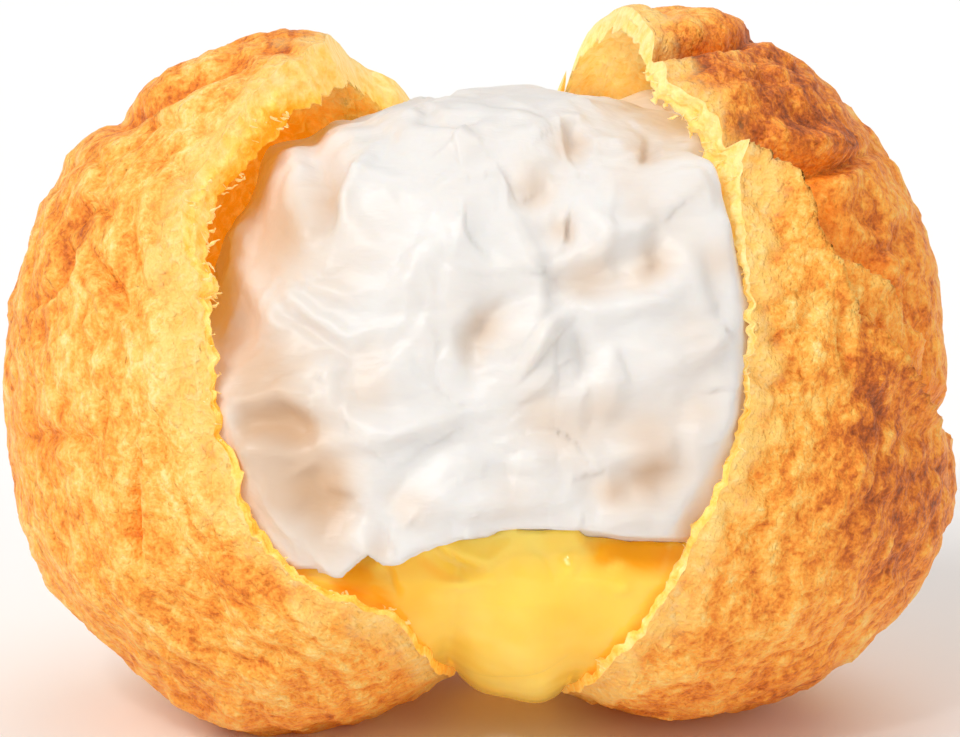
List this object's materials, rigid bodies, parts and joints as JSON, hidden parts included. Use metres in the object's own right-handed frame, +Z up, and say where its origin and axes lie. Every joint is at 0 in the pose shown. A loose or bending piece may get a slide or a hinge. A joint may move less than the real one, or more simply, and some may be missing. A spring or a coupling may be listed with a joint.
{
  "type": "cream puff",
  "caption": "Large choux bun torn open at the front and top, with whipped cream filling the hollow and custard running out below it.",
  "frame": {"origin": "middle of the footprint, on the surface the puff rests on", "axes": "+X across the two lobes from the left one to the right one, +Y from the torn front to the whole back, +Z up"},
  "size_m": [0.0999, 0.0797, 0.0761],
  "materials": {
    "crust": "baked choux crust, golden brown, crackled and papery, slightly glossy, paler along the torn edge",
    "cream": "whipped cream, soft, off-white, satin",
    "custard": "egg custard, smooth, glossy, warm yellow"
  },
  "bodies": {
    "root": {"choux_shell": "crust", "whipped_cream": "cream", "custard": "custard"}
  },
  "joints": []
}
